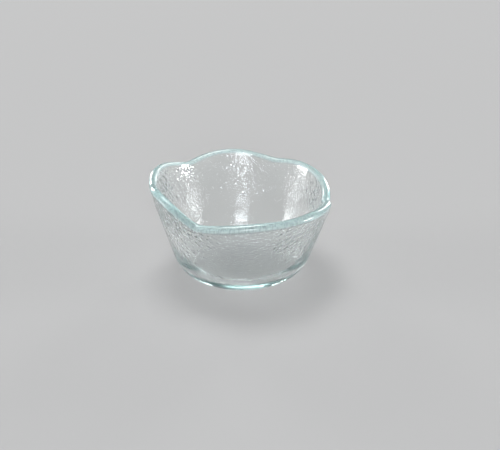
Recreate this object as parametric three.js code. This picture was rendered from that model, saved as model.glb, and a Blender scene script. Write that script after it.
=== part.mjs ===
// Sauce dish: one piece of clear slumped glass, with five uneven petals round a fire-polished rim.
// Millimetres, +Z up. The flat underside lies on z = 0 and the foot is centred on the Z axis.
// -Y is the side nearest the viewer, +X is to the right, and angles run anticlockwise from +X.
import * as THREE from 'three';
import { LoftGeometry } from 'three/addons/geometries/LoftGeometry.js';

// Glass, measured square to its faces
const WALL_THICKNESS = 4.2;
const FLOOR_THICKNESS = 4.2;

// Outer face: a flat underside, an elliptical heel, then a straight flared wall
const FOOT_RADIUS = 27.2;
const HEEL_REACH = 9.5;
const HEEL_RISE = 25;
const WALL_FLARE_DEG = 17;

// The glass settled a little to one side: everything above the underside leans this far towards +X.
const SIDE_LEAN_DEG = 0.7;

// Rim: height of the tallest petal above the table, and how far the rounded edge stands off the wall's end
const DISH_HEIGHT = 47.4;
const RIM_CROWN = 1.6;

// How far the crest of each petal lies below the tallest one
const RIGHT_CREST_DROP = 5.9;
const BACK_CREST_DROP = 3.8;
const BACK_LEFT_CREST_DROP = 0.6;
const FRONT_LEFT_CREST_DROP = 0;
const FRONT_CREST_DROP = 5.8;

// How far each valley between two petals lies below the tallest crest
const RIGHT_VALLEY_DROP = 9.7;
const BACK_RIGHT_VALLEY_DROP = 7.3;
const BACK_LEFT_VALLEY_DROP = 6.2;
const LEFT_VALLEY_DROP = 1.7;
const FRONT_LEFT_VALLEY_DROP = 8.8;

// Share of a petal's flank that the round bottom of its valley takes up
const CREASED = 0.05;
const FOLDED = 0.1;
const ROLLED = 0.34;

// The right valley is a creased step: the front petal's end stands out past the plain flare and the right
// petal's end is drawn in behind it. The step is largest at the rim, and fades down the wall to the heel
// and round the rim to either side.
const CREASE_STEP = 1.36;
const CREASE_HALF_WIDTH_DEG = 1;
const CREASE_REACH_DEG = 19;

// Petals in order of angle. Each starts at a valley and climbs to its crest, and the next valley ends it.
const PETALS = [
  {
    valleyDeg: -10, valleyDrop: RIGHT_VALLEY_DROP, softness: CREASED,
    crestDeg: 45, crestDrop: RIGHT_CREST_DROP,
  },
  {
    valleyDeg: 66, valleyDrop: BACK_RIGHT_VALLEY_DROP, softness: FOLDED,
    crestDeg: 103, crestDrop: BACK_CREST_DROP,
  },
  {
    valleyDeg: 131, valleyDrop: BACK_LEFT_VALLEY_DROP, softness: FOLDED,
    crestDeg: 169, crestDrop: BACK_LEFT_CREST_DROP,
  },
  {
    valleyDeg: 185, valleyDrop: LEFT_VALLEY_DROP, softness: ROLLED,
    crestDeg: 205, crestDrop: FRONT_LEFT_CREST_DROP,
  },
  {
    valleyDeg: 241, valleyDrop: FRONT_LEFT_VALLEY_DROP, softness: FOLDED,
    crestDeg: 285, crestDrop: FRONT_CREST_DROP,
  },
];

// Fineness of the faceted surface. A narrow column stands at either side of each valley.
const NARROW_COLUMN_DEG = 1.5;
const COLUMN_DEG = 3;
const HEEL_ROWS = 8;
const WALL_ROWS = 6;
const RIM_ROWS = 8;

// Finish
const GLASS_COLOUR = 0xcde4df;
const GLASS_ROUGHNESS = 0.08;
const GLASS_METALNESS = 0;
const GLASS_OPACITY = 0.35;

const FULL_TURN_DEG = 360;
const flare = THREE.MathUtils.degToRad(WALL_FLARE_DEG);
const leanPerHeight = Math.tan(THREE.MathUtils.degToRad(SIDE_LEAN_DEG));

// Along the wall towards the rim, and square to the wall towards the outside, both as (radius, height)
const upWall = new THREE.Vector2(Math.sin(flare), Math.cos(flare));
const outOfWall = new THREE.Vector2(Math.cos(flare), -Math.sin(flare));

// The rim's edge is half an ellipse, tilted with the wall. Its centre and its top both lie above the
// end of the wall's outer face, so the tallest crest's wall ends this far below the dish's height.
const halfWall = WALL_THICKNESS / 2;
const centreAboveWall = halfWall * Math.sin(flare);
const topAboveCentre = Math.hypot(centreAboveWall, RIM_CROWN * Math.cos(flare));
const tallestWall = DISH_HEIGHT - centreAboveWall - topAboveCentre;

// The inner face is the outer one lifted by the floor and drawn in until the wall has its thickness.
const innerFootRadius =
  FOOT_RADIUS - WALL_THICKNESS / Math.cos(flare) + FLOOR_THICKNESS * Math.tan(flare);

const outerHeel = heelPoints(FOOT_RADIUS, 0);
const innerHeel = heelPoints(innerFootRadius, FLOOR_THICKNESS);

// Heel from flat floor to straight wall, for a face with the given foot radius and floor height.
function heelPoints(footRadius, floorHeight) {
  const leavesFloor = -Math.PI / 2;
  const meetsWall = -Math.atan((HEEL_RISE / HEEL_REACH) * Math.tan(flare));
  const curve = new THREE.EllipseCurve(
    footRadius, floorHeight + HEEL_RISE, HEEL_REACH, HEEL_RISE, leavesFloor, meetsWall,
  );
  return curve.getPoints(HEEL_ROWS);
}

// Share of a flank's climb that is done at share u of its width, from the valley to the crest.
// The flank starts round in the valley, runs straight like the side of a V and levels off at the crest.
function climb(u, softness) {
  const rounded = (Math.hypot(u, softness) - softness) / (Math.hypot(1, softness) - softness);
  return Math.sin(rounded * Math.PI / 2);
}

// How far below the tallest crest the rim lies at an angle in degrees.
function rimDrop(angleDeg) {
  const firstDeg = PETALS[0].valleyDeg;
  const deg = firstDeg + THREE.MathUtils.euclideanModulo(angleDeg - firstDeg, FULL_TURN_DEG);
  const index = PETALS.findLastIndex((petal) => petal.valleyDeg <= deg);
  const petal = PETALS[index];
  const next = PETALS[(index + 1) % PETALS.length];
  const rising = deg <= petal.crestDeg;
  const valley = rising ? petal : next;
  const valleyDeg = valley === PETALS[0] && !rising ? firstDeg + FULL_TURN_DEG : valley.valleyDeg;
  const u = (deg - valleyDeg) / (petal.crestDeg - valleyDeg);
  return THREE.MathUtils.lerp(valley.valleyDrop, petal.crestDrop, climb(u, valley.softness));
}

// How far the rim stands out past the plain flare at an angle in degrees.
function standOut(angleDeg) {
  const halfTurnDeg = FULL_TURN_DEG / 2;
  const fromOppositeDeg = angleDeg - PETALS[0].valleyDeg + halfTurnDeg;
  const fromCreaseDeg = THREE.MathUtils.euclideanModulo(fromOppositeDeg, FULL_TURN_DEG) - halfTurnDeg;
  const side = -Math.tanh(fromCreaseDeg / CREASE_HALF_WIDTH_DEG);
  return (CREASE_STEP / 2) * side * Math.exp(-Math.abs(fromCreaseDeg) / CREASE_REACH_DEG);
}

// Angles of one flank's columns, counted from its valley: the valley itself, the end of its narrow column,
// then even steps that stop short of the crest.
function flankSteps(widthDeg) {
  const evenWidthDeg = widthDeg - NARROW_COLUMN_DEG;
  const evenCount = Math.ceil(evenWidthDeg / COLUMN_DEG);
  const steps = [0];
  for (let column = 0; column < evenCount; column += 1) {
    steps.push(NARROW_COLUMN_DEG + evenWidthDeg * column / evenCount);
  }
  return steps;
}

// Angles in degrees of all upright sections, with one on each valley and each crest.
function columnAngles() {
  return PETALS.flatMap((petal, index) => {
    const nextValleyDeg =
      index + 1 < PETALS.length ? PETALS[index + 1].valleyDeg : PETALS[0].valleyDeg + FULL_TURN_DEG;
    const rising = flankSteps(petal.crestDeg - petal.valleyDeg).map((step) => petal.valleyDeg + step);
    const falling = flankSteps(nextValleyDeg - petal.crestDeg).map((step) => nextValleyDeg - step);
    return [...rising, petal.crestDeg, ...falling.slice(1).toReversed()];
  });
}

// One upright section through the glass, as (radius, height) points from the middle of the underside,
// up the outer face, over the rim and down the inner face to the middle of the floor.
function section(angleDeg) {
  const outerFoot = outerHeel[HEEL_ROWS];
  const innerFoot = innerHeel[HEEL_ROWS];
  const wallLength = (tallestWall - rimDrop(angleDeg) - outerFoot.y) / upWall.y;
  const outerTop = outerFoot.clone().addScaledVector(upWall, wallLength);
  outerTop.x += standOut(angleDeg);
  const rimCentre = outerTop.clone().addScaledVector(outOfWall, -halfWall);
  const innerTop = rimCentre.clone().addScaledVector(outOfWall, -halfWall);

  const points = [new THREE.Vector2(0, 0), ...outerHeel];
  for (let row = 1; row < WALL_ROWS; row += 1) {
    points.push(outerFoot.clone().lerp(outerTop, row / WALL_ROWS));
  }
  for (let row = 0; row <= RIM_ROWS; row += 1) {
    const turn = Math.PI * row / RIM_ROWS;
    points.push(
      rimCentre.clone()
        .addScaledVector(outOfWall, Math.cos(turn) * halfWall)
        .addScaledVector(upWall, Math.sin(turn) * RIM_CROWN),
    );
  }
  for (let row = 1; row < WALL_ROWS; row += 1) {
    points.push(innerTop.clone().lerp(innerFoot, row / WALL_ROWS));
  }
  points.push(...innerHeel.toReversed(), new THREE.Vector2(0, FLOOR_THICKNESS));
  return points;
}

// Rings round the axis, one for each point along the section, skinned into one closed body.
function glassGeometry() {
  const columns = columnAngles().map((angleDeg) => {
    const angle = THREE.MathUtils.degToRad(angleDeg);
    return section(angleDeg).map(({ x: radius, y: height }) => new THREE.Vector3(
      radius * Math.cos(angle) + height * leanPerHeight,
      radius * Math.sin(angle),
      height,
    ));
  });
  const rings = columns[0].map((_, row) => columns.map((column) => column[row]));
  return new LoftGeometry(rings);
}

const glass = new THREE.MeshStandardMaterial({
  color: GLASS_COLOUR,
  roughness: GLASS_ROUGHNESS,
  metalness: GLASS_METALNESS,
  transparent: true,
  opacity: GLASS_OPACITY,
});

const dish = new THREE.Mesh(glassGeometry(), glass);
dish.name = 'glass_dish';

const sauceDish = new THREE.Group();
sauceDish.name = 'sauce_dish';
sauceDish.add(dish);

export default sauceDish;
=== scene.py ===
"""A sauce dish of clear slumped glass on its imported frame, with a floor, soft light and a camera."""

from __future__ import annotations

import logging
import math
from collections.abc import Callable
from dataclasses import dataclass
from enum import Enum

import bmesh
import bpy
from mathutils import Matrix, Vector

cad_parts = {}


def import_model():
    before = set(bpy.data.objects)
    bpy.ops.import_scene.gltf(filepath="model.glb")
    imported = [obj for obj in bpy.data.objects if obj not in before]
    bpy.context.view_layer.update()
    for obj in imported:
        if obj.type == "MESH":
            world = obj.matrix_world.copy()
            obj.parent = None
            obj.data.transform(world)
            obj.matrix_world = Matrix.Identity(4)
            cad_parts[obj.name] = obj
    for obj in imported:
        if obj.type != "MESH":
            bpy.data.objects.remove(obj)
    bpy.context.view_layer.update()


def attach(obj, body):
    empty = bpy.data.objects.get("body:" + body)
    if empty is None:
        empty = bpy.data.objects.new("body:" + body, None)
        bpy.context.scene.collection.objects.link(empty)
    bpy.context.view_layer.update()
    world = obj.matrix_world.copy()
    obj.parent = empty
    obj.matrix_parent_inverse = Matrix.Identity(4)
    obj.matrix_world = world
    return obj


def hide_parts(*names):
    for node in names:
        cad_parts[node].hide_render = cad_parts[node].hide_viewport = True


LOG = logging.getLogger("sauce_dish")
PHOTO_WIDTH_PX = 500
FULL_TURN_DEG = 360.0
HALF_TURN_DEG = 180.0
QUARTER_TURN_DEG = 90.0
RIGHT_VALLEY_DEG = -10.0

# A point of the glass's upright section: its radius and its height, in metres
SectionPoint = tuple[float, float]

# A place in metres, or a colour as red, green and blue
Triple = tuple[float, float, float]


def smoothstep(share: float) -> float:
    """Eases a share from 0 to 1, held at both ends."""
    held = min(max(share, 0.0), 1.0)
    return held * held * (3.0 - 2.0 * held)


def past_deg(angle_deg: float, start_deg: float) -> float:
    """Finds how far one angle lies past another, in degrees, the short way round."""
    return (angle_deg - start_deg + HALF_TURN_DEG) % FULL_TURN_DEG - HALF_TURN_DEG


def opaque(colour: Triple) -> tuple[float, float, float, float]:
    """Adds full opacity to a colour."""
    return (*colour, 1.0)


class Valley(Enum):
    """How tightly the glass folds between two petals: a flank's share in the round bottom."""

    CREASED = 0.05
    FOLDED = 0.10
    ROLLED = 0.34


class Combine(Enum):
    """How two values in a material become one."""

    PRODUCT = "MULTIPLY"
    LARGER = "MAXIMUM"


@dataclass(frozen=True)
class Petal:
    """One petal, from the valley where it starts to its crest.

    Angles run anticlockwise from +X, in degrees. Drops are below the tallest crest, in metres.
    """

    valley_deg: float
    valley_drop: float
    valley: Valley
    crest_deg: float
    crest_drop: float


@dataclass(frozen=True)
class Crease:
    """The step in the right valley: the front petal's end stands out, the right one's is drawn in."""

    angle_deg: float = RIGHT_VALLEY_DEG
    step: float = 0.00136
    half_width_deg: float = 1.0
    reach_deg: float = 19.0

    def stand_out(self, angle_deg: float) -> float:
        """Finds how far the rim stands out past the plain flare.

        Args:
            angle_deg: Angle round the dish, anticlockwise from +X, in degrees.

        Returns:
            The distance in metres, below zero where the rim is drawn in.
        """
        past = past_deg(angle_deg, self.angle_deg)
        side = -math.tanh(past / self.half_width_deg)
        return self.step / 2 * side * math.exp(-abs(past) / self.reach_deg)


@dataclass(frozen=True)
class RimLine:
    """The wavy line of the rim, as petals in order of angle, and the columns of the model."""

    petals: tuple[Petal, ...] = (
        Petal(
            valley_deg=RIGHT_VALLEY_DEG,
            valley_drop=0.0097,
            valley=Valley.CREASED,
            crest_deg=45.0,
            crest_drop=0.0059,
        ),
        Petal(
            valley_deg=66.0,
            valley_drop=0.0073,
            valley=Valley.FOLDED,
            crest_deg=103.0,
            crest_drop=0.0038,
        ),
        Petal(
            valley_deg=131.0,
            valley_drop=0.0062,
            valley=Valley.FOLDED,
            crest_deg=169.0,
            crest_drop=0.0006,
        ),
        Petal(
            valley_deg=185.0,
            valley_drop=0.0017,
            valley=Valley.ROLLED,
            crest_deg=205.0,
            crest_drop=0.0,
        ),
        Petal(
            valley_deg=241.0,
            valley_drop=0.0088,
            valley=Valley.FOLDED,
            crest_deg=285.0,
            crest_drop=0.0058,
        ),
    )
    crease: Crease = Crease()

    # Columns of the model, with narrow ones beside the valleys, and how far from its angle one may be
    narrow_deg: float = 1.5
    column_deg: float = 3.0
    column_reach_deg: float = 0.375

    @property
    def start_deg(self) -> float:
        """The angle of the first valley, where the spinning starts."""
        return self.petals[0].valley_deg

    @staticmethod
    def climb(share: float, softness: float) -> float:
        """Gives the share of a flank's climb that is done at a share of its width.

        Args:
            share: Share of the flank's width, from the valley to the crest.
            softness: Share of the flank that the round bottom of the valley takes.

        Returns:
            The share of the climb, from 0 in the valley to 1 on the crest.
        """
        whole = math.hypot(1.0, softness) - softness
        rounded = (math.hypot(share, softness) - softness) / whole
        return math.sin(rounded * math.pi / 2)

    def next_valley(self, index: int) -> tuple[Petal, float]:
        """Finds the valley that ends a petal.

        Args:
            index: Number of the petal.

        Returns:
            The petal that starts at that valley, and the valley's angle in degrees, counted on
            past a full turn after the last petal.
        """
        if index + 1 < len(self.petals):
            following = self.petals[index + 1]
            return following, following.valley_deg
        return self.petals[0], self.start_deg + FULL_TURN_DEG

    def drop(self, angle_deg: float) -> float:
        """Finds how far the rim lies below its tallest crest.

        Args:
            angle_deg: Angle round the dish, anticlockwise from +X, in degrees.

        Returns:
            The drop in metres.
        """
        deg = self.start_deg + (angle_deg - self.start_deg) % FULL_TURN_DEG
        index = max(i for i, petal in enumerate(self.petals) if petal.valley_deg <= deg)
        petal = self.petals[index]
        low, low_deg = petal, petal.valley_deg
        if deg > petal.crest_deg:
            low, low_deg = self.next_valley(index)
        share = (deg - low_deg) / (petal.crest_deg - low_deg)
        climbed = self.climb(share, low.valley.value)
        return low.valley_drop + (petal.crest_drop - low.valley_drop) * climbed

    def spins(self) -> list[tuple[float, int]]:
        """Plans the turns that model the dish, so that a column stands on each valley and crest.

        Returns:
            The width in degrees and the number of columns of each turn. Narrow columns stand
            beside the valleys.
        """
        turns: list[tuple[float, int]] = []
        for index, petal in enumerate(self.petals):
            rising = petal.crest_deg - petal.valley_deg - self.narrow_deg
            falling = self.next_valley(index)[1] - petal.crest_deg - self.narrow_deg
            turns.append((self.narrow_deg, 1))
            turns.append((rising, math.ceil(rising / self.column_deg)))
            turns.append((falling, math.ceil(falling / self.column_deg)))
            turns.append((self.narrow_deg, 1))
        return turns

    def columns(self) -> list[float]:
        """Lists the angles of the columns.

        Returns:
            The angles in degrees, from the first valley round.
        """
        angles = [self.start_deg]
        for width, steps in self.spins():
            angles += [angles[-1] + width * step / steps for step in range(1, steps + 1)]
        return angles[:-1]


@dataclass(frozen=True)
class GlassSection:
    """The glass's upright section, with a level rim at the height of the tallest crest. In metres."""

    wall: float = 0.0042
    floor: float = 0.0042
    foot_radius: float = 0.0272
    heel_reach: float = 0.0095
    heel_rise: float = 0.025
    flare_deg: float = 17.0
    height: float = 0.0474
    crown: float = 0.0016

    # Fineness of the curves
    heel_steps: int = 6
    rim_steps: int = 6

    @property
    def flare(self) -> float:
        """The wall's angle from upright, in radians."""
        return math.radians(self.flare_deg)

    @property
    def tallest_wall(self) -> float:
        """Height at which the outer face ends and the rounded edge starts, on the tallest crest.

        Returns:
            The height above the table.
        """
        centre_above = self.wall / 2 * math.sin(self.flare)
        top_above = math.hypot(centre_above, self.crown * math.cos(self.flare))
        return self.height - centre_above - top_above

    @property
    def inner_foot_radius(self) -> float:
        """Radius at which the inner face leaves the flat of the dish's floor."""
        drawn_in = self.wall / math.cos(self.flare)
        return self.foot_radius - drawn_in + self.floor * math.tan(self.flare)

    @property
    def outer_heel(self) -> list[SectionPoint]:
        """The outer face's heel, from the flat underside to the wall."""
        return self.heel(self.foot_radius, 0.0)

    @property
    def inner_heel(self) -> list[SectionPoint]:
        """The inner face's heel, from the flat floor to the wall."""
        return self.heel(self.inner_foot_radius, self.floor)

    def heel(self, foot_radius: float, floor_height: float) -> list[SectionPoint]:
        """Plots a heel, which is part of an ellipse, from its flat to the straight wall.

        Args:
            foot_radius: Radius at which the face leaves the flat.
            floor_height: Height of the flat.

        Returns:
            Points of which the first is on the flat and the last on the wall.
        """
        start = -math.pi / 2
        end = -math.atan(self.heel_rise / self.heel_reach * math.tan(self.flare))
        points: list[SectionPoint] = []
        for step in range(self.heel_steps + 1):
            turn = start + (end - start) * step / self.heel_steps
            radius = foot_radius + self.heel_reach * math.cos(turn)
            height = floor_height + self.heel_rise * (1 + math.sin(turn))
            points.append((radius, height))
        return points

    def edge(self) -> list[SectionPoint]:
        """Plots the rounded edge, which is half an ellipse that is tilted with the wall.

        Returns:
            Points from the outer face, over the top, to the inner face.
        """
        up = (math.sin(self.flare), math.cos(self.flare))
        out = (math.cos(self.flare), -math.sin(self.flare))
        foot_radius, foot_height = self.outer_heel[-1]
        length = (self.tallest_wall - foot_height) / up[1]
        centre_radius = foot_radius + up[0] * length - out[0] * self.wall / 2
        centre_height = self.tallest_wall - out[1] * self.wall / 2
        points: list[SectionPoint] = []
        for step in range(self.rim_steps + 1):
            turn = math.pi * step / self.rim_steps
            across = math.cos(turn) * self.wall / 2
            along = math.sin(turn) * self.crown
            radius = centre_radius + out[0] * across + up[0] * along
            height = centre_height + out[1] * across + up[1] * along
            points.append((radius, height))
        return points

    def points(self) -> list[SectionPoint]:
        """Plots the whole section, with a point halfway along each flat.

        Returns:
            Points from the middle of the underside, over the rim, to the middle of the floor.
        """
        underside = [(0.0, 0.0), (self.foot_radius / 2, 0.0)]
        floor = [(self.inner_foot_radius / 2, self.floor), (0.0, self.floor)]
        return underside + self.outer_heel + self.edge() + self.inner_heel[::-1] + floor


@dataclass(frozen=True)
class GlassZones:
    """Where the glass is grained and rippled, and where a glow is painted along its edge."""

    # Heights above the table, in metres
    grain_from_height: float = 0.003
    ripple_from_height: float = 0.006

    # Distances down the wall from the start of the rounded edge, in metres
    grain_full_from: float = 0.0024
    grain_full_to: float = 0.012
    grain_fades_to: float = 0.028
    # Painted glow: how far down the outer and inner faces the edge's painted glow reaches, and how far
    # it fades
    outer_glow_to: float = 0.0013
    inner_glow_to: float = 0.0014
    glow_fade: float = 0.0016

    # Shares of the full grain, low on the wall and on its inner face
    least_grain: float = 0.20
    inner_grain: float = 0.55

    def grained(self, below: float, outside: bool, height: float) -> float:
        """Finds how grained the glass is: most on the upper outer wall, not on the edge or foot.

        Args:
            below: Distance down the wall.
            outside: Whether the point is nearer to the outer face.
            height: Height above the table.

        Returns:
            A share from 0, polished, to 1.
        """
        if height < self.grain_from_height:
            return 0.0
        fade = (below - self.grain_full_to) / (self.grain_fades_to - self.grain_full_to)
        share = 1.0 - (1.0 - self.least_grain) * smoothstep(fade)
        share *= smoothstep(below / self.grain_full_from)
        return share if outside else share * self.inner_grain

    def rippled(self, height: float) -> float:
        """Finds how rippled the glass is at a height, from 0 on the foot to 1 on the wall."""
        return smoothstep(height / self.ripple_from_height - 1.0)

    def painted_glow(self, below: float, outside: bool) -> float:
        """Finds how much glow is painted on the glass: all over the rounded edge, and a little way
        down the wall.

        Args:
            below: Distance down the wall.
            outside: Whether the point is nearer to the outer face.

        Returns:
            A share from 0, clear, to 1, full painted glow.
        """
        end = self.outer_glow_to if outside else self.inner_glow_to
        return smoothstep((end - below) / self.glow_fade)


@dataclass(frozen=True)
class SurfacePattern:
    """A cloudy pattern that is pressed into the mesh of the glass. Sizes are in metres."""

    name: str
    size: float
    depth: float
    middle: float = 0.5

    def press(self, piece: bpy.types.Object, shares: list[float]) -> None:
        """Pushes the surface in and out by the pattern.

        Args:
            piece: The active piece, in object mode.
            shares: How much of the depth each vertex takes, from 0 to 1.
        """
        group = piece.vertex_groups.new(name=self.name)
        for number, share in enumerate(shares):
            if share > 0.0:
                group.add([number], share, "REPLACE")
        clouds = bpy.data.textures.new(self.name, "CLOUDS")
        clouds.noise_scale = self.size
        clouds.noise_depth = 0
        push = piece.modifiers.new(self.name, "DISPLACE")
        push.texture = clouds
        push.texture_coords = "LOCAL"
        push.strength = self.depth
        push.mid_level = self.middle
        push.vertex_group = group.name
        bpy.ops.object.modifier_apply(modifier=push.name)


@dataclass(frozen=True)
class Wiring:
    """A node material in the making, with short ways to add nodes and to link them."""

    material: bpy.types.Material

    @classmethod
    def start(cls, name: str) -> Wiring:
        """Starts a material with a plain shader.

        Args:
            name: Name of the material.

        Returns:
            The material's wiring.
        """
        material = bpy.data.materials.new(name)
        material.use_nodes = True
        return cls(material)

    @property
    def nodes(self) -> bpy.types.Nodes:
        """The material's nodes."""
        return self.material.node_tree.nodes

    def add(self, kind: str) -> bpy.types.ShaderNode:
        """Adds a node of a kind."""
        return self.nodes.new(kind)

    def join(self, source: bpy.types.NodeSocket, target: bpy.types.NodeSocket) -> None:
        """Links an output to an input."""
        self.material.node_tree.links.new(source, target)

    def fix(self, name: str, value: float | tuple[float, ...]) -> None:
        """Sets one of the shader's inputs."""
        self.nodes["Principled BSDF"].inputs[name].default_value = value

    def feed(self, name: str, source: bpy.types.NodeSocket) -> None:
        """Links an output to one of the shader's inputs."""
        self.join(source, self.nodes["Principled BSDF"].inputs[name])

    def mask(self, name: str) -> bpy.types.NodeSocket:
        """Reads a mesh attribute.

        Args:
            name: Name of the attribute.

        Returns:
            The attribute's value.
        """
        attribute = self.add("ShaderNodeAttribute")
        attribute.attribute_name = name
        return attribute.outputs["Fac"]

    def noise(self, place: bpy.types.NodeSocket, size: float) -> bpy.types.NodeSocket:
        """Adds a smooth random pattern.

        Args:
            place: The coordinates that it is laid on.
            size: Size of the pattern in metres.

        Returns:
            The pattern's value.
        """
        pattern = self.add("ShaderNodeTexNoise")
        pattern.inputs["Scale"].default_value = 1.0 / size
        pattern.inputs["Detail"].default_value = 0.0
        self.join(place, pattern.inputs["Vector"])
        return pattern.outputs["Fac"]

    def spread(
        self,
        value: bpy.types.NodeSocket,
        between: tuple[float, float],
        over: tuple[float, float] = (0.0, 1.0),
    ) -> bpy.types.NodeSocket:
        """Maps one range of a value to another, held at both ends.

        Args:
            value: The value.
            between: What the result runs between.
            over: The range of the value that it runs over.

        Returns:
            The result.
        """
        mapping = self.add("ShaderNodeMapRange")
        mapping.inputs["From Min"].default_value = over[0]
        mapping.inputs["From Max"].default_value = over[1]
        mapping.inputs["To Min"].default_value = between[0]
        mapping.inputs["To Max"].default_value = between[1]
        self.join(value, mapping.inputs["Value"])
        return mapping.outputs["Result"]

    def combine(
        self,
        how: Combine,
        first: bpy.types.NodeSocket,
        second: bpy.types.NodeSocket,
    ) -> bpy.types.NodeSocket:
        """Makes one value of two.

        Args:
            how: How they are combined.
            first: One value.
            second: The other value.

        Returns:
            The result.
        """
        both = self.add("ShaderNodeMath")
        both.operation = how.value
        self.join(first, both.inputs[0])
        self.join(second, both.inputs[1])
        return both.outputs["Value"]


@dataclass(frozen=True)
class PebbledGlass:
    """Clear glass with a pale aqua body, a fine grain on its walls and a painted glow along its edge,
    streaked across: a pale aqua-white diffuse share that stands in for light carried along inside the
    glass to the rim and for a lamp's sheen on it.
    """

    name: str = "pebbled_clear_glass"
    ior: float = 1.52
    clear_colour: Triple = (0.985, 0.995, 0.993)
    # Painted glow and sheen: pale aqua-white colour on the edge for light carried along inside the
    # glass and a lamp's sheen on the rim
    edge_glow_colour: Triple = (0.79, 0.975, 0.965)
    body_colour: Triple = (0.53, 0.85, 0.85)
    body_density: float = 9.0
    polished_roughness: float = 0.015
    grained_roughness: float = 0.02
    clear_transmission: float = 0.995
    grained_transmission: float = 0.93
    # Painted glow: the edge lets less light through, so that its pale aqua-white colour shows
    edge_glow_transmission: float = 0.58

    # Finer grain between the pebbles, in metres
    grain_size: float = 0.0011
    grain_depth: float = 0.00030

    # Clear streaks across the edge's painted glow
    streak_size: float = 0.0008
    streak_stretch: float = 8.0
    streak_range: tuple[float, float] = (0.45, 0.62)
    streak_clearness: float = 0.22

    def make(self, grained_mask: str, painted_glow_mask: str) -> bpy.types.Material:
        """Builds the material.

        Args:
            grained_mask: Mesh attribute that is 1 on grained glass and 0 on polished glass.
            painted_glow_mask: Mesh attribute that is 1 on the rim's edge, where a glow is painted, and
                0 away from it.

        Returns:
            The node material.
        """
        wiring = Wiring.start(self.name)
        grained = wiring.mask(grained_mask)
        # The edge mask places the painted glow and sheen along the rim
        edge = wiring.mask(painted_glow_mask)
        place = wiring.add("ShaderNodeTexCoord").outputs["Object"]
        wiring.fix("IOR", self.ior)
        self.tint(wiring, edge)
        self.polish(wiring, grained)
        self.cloud(wiring, grained, self.streak(wiring, edge, place))
        self.emboss(wiring, grained, place)
        self.fill(wiring)
        return wiring.material

    def tint(self, wiring: Wiring, edge: bpy.types.NodeSocket) -> None:
        """Colours the surface, clear on the wall, with a painted pale aqua-white glow along the edge.

        Args:
            wiring: The glass in the making.
            edge: How near the surface is to the rim's edge.
        """
        colour = wiring.add("ShaderNodeMix")
        colour.data_type = "RGBA"
        colour.inputs["A"].default_value = opaque(self.clear_colour)
        # Painted glow and sheen along the edge, in pale aqua-white
        colour.inputs["B"].default_value = opaque(self.edge_glow_colour)
        wiring.join(edge, colour.inputs["Factor"])
        wiring.feed("Base Color", colour.outputs["Result"])

    def polish(self, wiring: Wiring, grained: bpy.types.NodeSocket) -> None:
        """Makes the surface a little rougher where it is grained."""
        between = (self.polished_roughness, self.grained_roughness)
        wiring.feed("Roughness", wiring.spread(grained, between))

    def streak(
        self,
        wiring: Wiring,
        edge: bpy.types.NodeSocket,
        place: bpy.types.NodeSocket,
    ) -> bpy.types.NodeSocket:
        """Draws clear upright streaks across the edge's painted glow.

        Args:
            wiring: The glass in the making.
            edge: How near the surface is to the rim's edge.
            place: The glass's own coordinates.

        Returns:
            How much painted glow the surface takes.
        """
        upright = wiring.add("ShaderNodeVectorMath")
        upright.operation = "MULTIPLY"
        upright.inputs[1].default_value = (1.0, 1.0, 1.0 / self.streak_stretch)
        wiring.join(place, upright.inputs[0])
        streaks = wiring.noise(upright.outputs["Vector"], self.streak_size)
        between = (1.0, 1.0 - self.streak_clearness)
        # The streaks take away part of the painted glow
        glow_left = wiring.spread(streaks, between, self.streak_range)
        return wiring.combine(Combine.PRODUCT, edge, glow_left)

    def cloud(
        self,
        wiring: Wiring,
        grained: bpy.types.NodeSocket,
        painted_glow: bpy.types.NodeSocket,
    ) -> None:
        """Lets less light through where the glass is grained, and where a glow is painted on the edge.

        Args:
            wiring: The glass in the making.
            grained: How grained the surface is.
            painted_glow: How much painted glow the surface takes.
        """
        between = (self.clear_transmission, self.grained_transmission)
        # Painted glow: on the edge less light goes through and the painted pale aqua-white colour
        # shows instead
        glow_mix = wiring.add("ShaderNodeMix")
        glow_mix.data_type = "FLOAT"
        glow_mix.inputs["B"].default_value = self.edge_glow_transmission
        wiring.join(painted_glow, glow_mix.inputs["Factor"])
        wiring.join(wiring.spread(grained, between), glow_mix.inputs["A"])
        wiring.feed("Transmission Weight", glow_mix.outputs["Result"])

    def emboss(
        self,
        wiring: Wiring,
        grained: bpy.types.NodeSocket,
        place: bpy.types.NodeSocket,
    ) -> None:
        """Adds a finer grain to that of the mesh.

        Args:
            wiring: The glass in the making.
            grained: How grained the surface is.
            place: The glass's own coordinates.
        """
        grain = wiring.noise(place, self.grain_size)
        bump = wiring.add("ShaderNodeBump")
        bump.inputs["Distance"].default_value = self.grain_depth
        wiring.join(wiring.combine(Combine.PRODUCT, grain, grained), bump.inputs["Height"])
        wiring.feed("Normal", bump.outputs["Normal"])

    def fill(self, wiring: Wiring) -> None:
        """Gives the body of the glass its faint colour.

        Args:
            wiring: The glass in the making.
        """
        body = wiring.add("ShaderNodeVolumeAbsorption")
        body.inputs["Color"].default_value = opaque(self.body_colour)
        body.inputs["Density"].default_value = self.body_density
        wiring.join(body.outputs["Volume"], wiring.nodes["Material Output"].inputs["Volume"])


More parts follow.
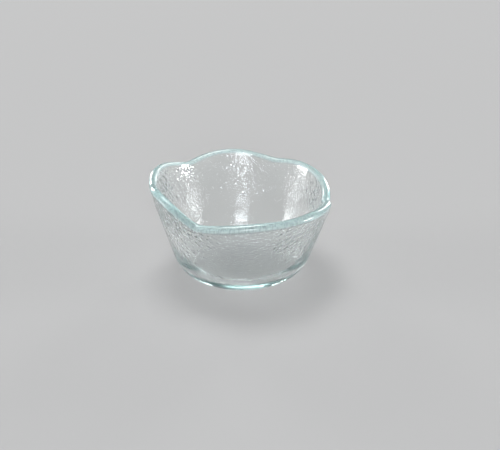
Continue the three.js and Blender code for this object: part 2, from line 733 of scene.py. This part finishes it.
@dataclass(frozen=True)
class GlassDish:
    """The one piece of glass: flat foot, curved heel, flared wall and petal rim. In metres."""

    name: str = "slumped_glass"
    node: str = "glass_dish"
    slot: str = "clear_glass"
    profile: GlassSection = GlassSection()
    rim: RimLine = RimLine()
    zones: GlassZones = GlassZones()
    pebbles: SurfacePattern = SurfacePattern(name="pebbled", size=0.0012, depth=0.00042)
    ripples: SurfacePattern = SurfacePattern(name="rippled", size=0.014, depth=0.00050)
    lean_deg: float = 0.7

    # Fineness of the mesh
    outer_wall_cuts: int = 15
    inner_wall_cuts: int = 5
    smoothing: int = 2

    # Distances within which heights agree and vertices weld, and beyond which an edge is long
    near: float = 0.000001
    weld: float = 0.00001
    long_edge: float = 0.0136

    # Names of the mesh attributes
    grained_mask: str = "grained"
    # Mask of the glow and sheen that are painted along the rim's edge
    painted_glow_mask: str = "edge"

    @property
    def lean(self) -> float:
        """How far the glass leans to +X for each metre of height."""
        return math.tan(math.radians(self.lean_deg))

    def build(self) -> bpy.types.Object:
        """Models the dish from a drawn section to its grained wall.

        Returns:
            The finished mesh object, at the origin.
        """
        section = self.profile.points()
        dish = self.draw_section(section)
        self.spin_section()
        self.lean_rings(dish, section)
        self.settle_petals(dish)
        self.cut_wall(dish, self.profile.outer_heel[-1][1], self.outer_wall_cuts)
        self.cut_wall(dish, self.profile.inner_heel[-1][1], self.inner_wall_cuts)
        bpy.ops.object.mode_set(mode="OBJECT")
        self.smooth(dish)
        self.roughen(dish)
        bpy.ops.object.shade_smooth()
        return dish

    def dress(self, dish: bpy.types.Object, finish: PebbledGlass) -> None:
        """Gives the dish its finish and its place in the frame.

        Args:
            dish: The finished dish.
            finish: The glass it is made of.
        """
        dish.data.materials.append(finish.make(self.grained_mask, self.painted_glow_mask))
        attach(dish, "root")
        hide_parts(self.node)

    def draw_section(self, section: list[SectionPoint]) -> bpy.types.Object:
        """Draws the section as a chain of edges, upright in the first valley.

        Args:
            section: The points of the section.

        Returns:
            The new object, left in edit mode with the whole chain selected.
        """
        # A plane that is merged to its centre leaves the vertex from which the chain is extruded.
        bpy.ops.object.select_all(action="DESELECT")
        bpy.ops.mesh.primitive_plane_add(size=self.profile.foot_radius, location=(0.0, 0.0, 0.0))
        dish = bpy.context.object
        dish.name = self.name
        dish.data.name = self.name
        bpy.ops.object.mode_set(mode="EDIT")
        bpy.ops.mesh.select_mode(type="VERT")
        bpy.ops.mesh.select_all(action="SELECT")
        bpy.ops.mesh.merge(type="CENTER")
        angle = math.radians(self.rim.start_deg)
        for (radius, height), (next_radius, next_height) in zip(section, section[1:]):
            outwards = next_radius - radius
            step = (outwards * math.cos(angle), outwards * math.sin(angle), next_height - height)
            bpy.ops.mesh.extrude_vertices_move(TRANSFORM_OT_translate={"value": step})
        bpy.ops.mesh.select_all(action="SELECT")
        return dish

    def spin_section(self) -> None:
        """Spins the selected chain round the upright axis, flank by flank, and welds its ends."""
        for width_deg, steps in self.rim.spins():
            bpy.ops.mesh.spin(
                steps=steps,
                angle=-math.radians(width_deg),
                center=(0.0, 0.0, 0.0),
                axis=(0.0, 0.0, 1.0),
            )
        bpy.ops.mesh.select_all(action="SELECT")
        bpy.ops.mesh.remove_doubles(threshold=self.weld)
        bpy.ops.mesh.normals_make_consistent(inside=False)

    @staticmethod
    def select(dish: bpy.types.Object, belongs: Callable[[Vector], bool]) -> None:
        """Selects only the vertices that a test accepts.

        Args:
            dish: The dish, in edit mode.
            belongs: The test of a vertex's place.
        """
        bpy.ops.mesh.select_all(action="DESELECT")
        mesh = bmesh.from_edit_mesh(dish.data)
        for vertex in mesh.verts:
            if belongs(vertex.co):
                vertex.select_set(True)
        bmesh.update_edit_mesh(dish.data, loop_triangles=False, destructive=False)

    def lean_rings(self, dish: bpy.types.Object, section: list[SectionPoint]) -> None:
        """Slides each ring to +X by its height, as the glass settled a little to one side.

        Args:
            dish: The spun dish, in edit mode.
            section: The points that the rings came from.
        """
        heights = sorted({round(height / self.near) * self.near for _, height in section})
        for height in heights[1:]:
            self.select(dish, lambda place: abs(place.z - height) < self.near)
            bpy.ops.transform.translate(value=(self.lean * height, 0.0, 0.0))

    def angle_deg(self, place: Vector) -> float:
        """Finds the angle of a point round the leaning dish, in degrees."""
        return math.degrees(math.atan2(place.y, place.x - self.lean * place.z))

    def settle_petals(self, dish: bpy.types.Object) -> None:
        """Slides the rounded edge down the wall, column by column, to its wavy line and creased step.

        Args:
            dish: The leaning dish, in edit mode.
        """
        lowest = self.profile.tallest_wall - self.near
        reach = self.rim.column_reach_deg
        for column_deg in self.rim.columns():
            drop = self.rim.drop(column_deg)
            outwards = self.rim.crease.stand_out(column_deg) - drop * math.tan(self.profile.flare)
            angle = math.radians(column_deg)
            slide = (
                outwards * math.cos(angle) - drop * self.lean,
                outwards * math.sin(angle),
                -drop,
            )
            self.select(
                dish,
                lambda place: place.z > lowest
                and abs(past_deg(self.angle_deg(place), column_deg)) < reach,
            )
            bpy.ops.transform.translate(value=slide)

    def cut_wall(self, dish: bpy.types.Object, foot_height: float, cuts: int) -> None:
        """Cuts one face of the wall into rows, across the long upright edges that stand on its heel.

        Args:
            dish: The settled dish, in edit mode.
            foot_height: Height of the ring that the edges stand on.
            cuts: Number of cuts.
        """
        bpy.ops.mesh.select_mode(type="EDGE")
        bpy.ops.mesh.select_all(action="DESELECT")
        mesh = bmesh.from_edit_mesh(dish.data)
        for edge in mesh.edges:
            low, high = sorted(vertex.co.z for vertex in edge.verts)
            if abs(low - foot_height) < self.near and high - low > self.long_edge:
                edge.select_set(True)
        bmesh.update_edit_mesh(dish.data, loop_triangles=False, destructive=False)
        bpy.ops.mesh.subdivide(number_cuts=cuts)

    def smooth(self, dish: bpy.types.Object) -> None:
        """Rounds the cage with a subdivision surface and applies it.

        Args:
            dish: The settled dish, in object mode.
        """
        rounding = dish.modifiers.new("rounding", "SUBSURF")
        rounding.levels = self.smoothing
        rounding.render_levels = self.smoothing
        bpy.ops.object.modifier_apply(modifier=rounding.name)

    def wall_place(self, place: Vector) -> tuple[float, bool]:
        """Finds where a point lies in the wall.

        Args:
            place: A point of the dish.

        Returns:
            Its distance down the wall from the start of the rounded edge, and whether it is nearer
            to the outer face than to the inner one.
        """
        flare = self.profile.flare
        angle_deg = self.angle_deg(place)
        foot_radius, foot_height = self.profile.outer_heel[-1]
        top = self.profile.tallest_wall - self.rim.drop(angle_deg)
        up = place.z - foot_height
        risen = min(max(up / (top - foot_height), 0.0), 1.0)
        plain_radius = math.hypot(place.x - self.lean * place.z, place.y)
        out = plain_radius - self.rim.crease.stand_out(angle_deg) * risen - foot_radius
        along = out * math.sin(flare) + up * math.cos(flare)
        depth = up * math.sin(flare) - out * math.cos(flare)
        below = (top - foot_height) / math.cos(flare) - along
        return below, depth < self.profile.wall / 2

    def roughen(self, dish: bpy.types.Object) -> None:
        """Presses the pebbles and the slow ripple into the mesh, and keeps the masks.

        Args:
            dish: The smoothed dish, in object mode.
        """
        grained: list[float] = []
        rippled: list[float] = []
        painted_glow: list[float] = []
        for vertex in dish.data.vertices:
            below, outside = self.wall_place(vertex.co)
            grained.append(self.zones.grained(below, outside, vertex.co.z))
            rippled.append(self.zones.rippled(vertex.co.z))
            # Share of the glow painted on the edge
            painted_glow.append(self.zones.painted_glow(below, outside))
        self.pebbles.press(dish, grained)
        self.ripples.press(dish, rippled)
        for name, shares in ((self.grained_mask, grained), (self.painted_glow_mask, painted_glow)):
            values = dish.data.attributes.new(name=name, type="FLOAT", domain="POINT")
            values.data.foreach_set("value", shares)


@dataclass(frozen=True)
class PaleFloor:
    """A plain pale floor. It glows a little where it is seen, so that its shade stays pale."""

    name: str = "pale_floor"
    width: float = 24.0
    height: float = -0.00005
    colour: Triple = (0.32, 0.32, 0.32)
    glow_colour: Triple = (1.0, 1.0, 1.0)
    glow: float = 0.21
    roughness: float = 1.0
    gloss: float = 0.0

    def build(self) -> bpy.types.Object:
        """Lays the floor.

        Returns:
            The floor object.
        """
        bpy.ops.object.select_all(action="DESELECT")
        bpy.ops.mesh.primitive_plane_add(size=self.width, location=(0.0, 0.0, self.height))
        floor = bpy.context.object
        floor.name = self.name
        floor.data.materials.append(self.make())
        return floor

    def make(self) -> bpy.types.Material:
        """Builds the floor's material.

        Returns:
            The node material.
        """
        wiring = Wiring.start(self.name)
        wiring.fix("Base Color", opaque(self.colour))
        wiring.fix("Roughness", self.roughness)
        wiring.fix("Specular IOR Level", self.gloss)
        wiring.fix("Emission Color", opaque(self.glow_colour))
        path = wiring.add("ShaderNodeLightPath")
        seen = path.outputs["Is Camera Ray"]
        for ray in ("Is Glossy Ray", "Is Transmission Ray"):
            seen = wiring.combine(Combine.LARGER, seen, path.outputs[ray])
        wiring.feed("Emission Strength", wiring.spread(seen, (0.0, self.glow)))
        return wiring.material


@dataclass(frozen=True)
class Softbox:
    """One soft studio lamp that faces the dish. Places and sizes are in metres."""

    name: str
    place: Triple
    size: tuple[float, float]
    watts: float
    colour: Triple = (1.0, 1.0, 1.0)
    aim: Triple = (0.0, 0.0, 0.02)

    def build(self) -> bpy.types.Object:
        """Hangs the lamp.

        Returns:
            The lamp object.
        """
        data = bpy.data.lights.new(self.name, "AREA")
        data.shape = "RECTANGLE"
        data.size, data.size_y = self.size
        data.energy = self.watts
        data.color = self.colour
        lamp = bpy.data.objects.new(self.name, data)
        bpy.context.collection.objects.link(lamp)
        lamp.location = self.place
        lamp.visible_camera = False
        facing = Vector(self.aim) - Vector(self.place)
        lamp.rotation_euler = facing.to_track_quat("-Z", "Y").to_euler()
        return lamp


@dataclass(frozen=True)
class Studio:
    """The soft light: lamps at both sides, in front, behind and high up, and the room's own."""

    lamps: tuple[Softbox, ...] = (
        Softbox(
            name="left_softbox",
            place=(-4.60, 0.07, 0.38),
            size=(1.60, 1.42),
            watts=172.0,
        ),
        Softbox(
            name="right_softbox",
            place=(4.60, -0.07, 0.38),
            size=(1.60, 1.42),
            watts=172.0,
        ),
        Softbox(
            name="front_softbox",
            place=(0.10, -3.36, 1.58),
            size=(1.28, 1.60),
            watts=68.0,
            colour=(0.93, 0.96, 1.0),
        ),
        Softbox(
            name="back_left_softbox",
            place=(-1.86, 3.36, 0.96),
            size=(0.88, 1.60),
            watts=42.0,
        ),
        Softbox(
            name="back_right_softbox",
            place=(1.86, 3.36, 0.96),
            size=(0.88, 1.60),
            watts=42.0,
        ),
        Softbox(
            name="high_softbox",
            place=(-0.70, 2.30, 5.12),
            size=(2.50, 2.50),
            watts=190.0,
        ),
    )
    room_colour: Triple = (0.60, 0.61, 0.62)
    room_strength: float = 0.20

    def build(self) -> None:
        """Hangs the lamps and sets the light of the room."""
        for lamp in self.lamps:
            lamp.build()
        world = bpy.data.worlds.new("room")
        world.use_nodes = True
        room = world.node_tree.nodes["Background"]
        room.inputs["Color"].default_value = opaque(self.room_colour)
        room.inputs["Strength"].default_value = self.room_strength
        bpy.context.scene.world = world


@dataclass(frozen=True)
class PhotoCamera:
    """The camera at the photograph's viewing angle. Its place is in metres."""

    name: str = "photo_camera"
    place: Triple = (0.00395, -0.43722, 0.24326)
    looks_down_deg: float = 27.0
    focal_px: float = 1000.0
    sensor_mm: float = 36.0
    sees_from: float = 0.01

    def build(self) -> bpy.types.Object:
        """Sets the scene's camera.

        Returns:
            The camera object.
        """
        data = bpy.data.cameras.new(self.name)
        data.sensor_fit = "HORIZONTAL"
        data.sensor_width = self.sensor_mm
        data.lens = self.sensor_mm * self.focal_px / PHOTO_WIDTH_PX
        data.clip_start = self.sees_from
        camera = bpy.data.objects.new(self.name, data)
        bpy.context.collection.objects.link(camera)
        camera.location = self.place
        tilt = math.radians(QUARTER_TURN_DEG - self.looks_down_deg)
        camera.rotation_euler = (tilt, 0.0, 0.0)
        bpy.context.scene.camera = camera
        return camera


@dataclass(frozen=True)
class PlainLook:
    """A plain view transform, and enough bounces for light that runs along inside the glass."""

    bounces: int = 24
    glossy_bounces: int = 16
    transmission_bounces: int = 24

    def apply(self) -> None:
        """Sets the look of the scene."""
        scene = bpy.context.scene
        scene.view_settings.view_transform = "Standard"
        scene.cycles.max_bounces = self.bounces
        scene.cycles.glossy_bounces = self.glossy_bounces
        scene.cycles.transmission_bounces = self.transmission_bounces


def main() -> None:
    """Builds the dish, its stage and its light, and notes the dish's number of faces."""
    logging.basicConfig(level=logging.INFO, format="%(name)s: %(message)s")
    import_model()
    PlainLook().apply()
    PhotoCamera().build()

    dish_maker = GlassDish()
    dish = dish_maker.build()
    dish_maker.dress(dish, PebbledGlass())
    LOG.info("%s: %d faces", dish.name, len(dish.data.polygons))

    floor = PaleFloor().build()
    LOG.info("%s: stage", floor.name)
    Studio().build()


if __name__ == "__main__":
    main()
